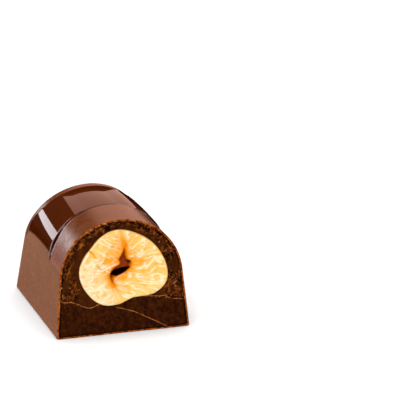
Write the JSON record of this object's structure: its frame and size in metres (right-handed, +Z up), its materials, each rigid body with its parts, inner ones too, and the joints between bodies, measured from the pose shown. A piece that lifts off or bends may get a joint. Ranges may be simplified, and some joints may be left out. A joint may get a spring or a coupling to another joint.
{
  "type": "chocolate bar",
  "caption": "Half of a small arched moulded chocolate bar, cut across to show the whole hazelnut, the filling and the base layer.",
  "frame": {"origin": "on the flat base, under the middle of the part's box", "axes": "+X to the right as the cut face is looked at, +Y along the bar away from the cut face, +Z up"},
  "size_m": [0.022, 0.028, 0.0198],
  "materials": {
    "shell": "tempered dark chocolate, satin on the walls and bands, polished on the panel",
    "filling": "cut dark chocolate, matte and crumbly",
    "base_layer": "cut dark chocolate, dense and nearly smooth",
    "hazelnut": "cut roasted kernel, cream with golden hollows and a brown core"
  },
  "bodies": {
    "root": {"shell": "shell", "filling": "filling", "base_layer": "base_layer", "hazelnut": "hazelnut"}
  },
  "joints": []
}
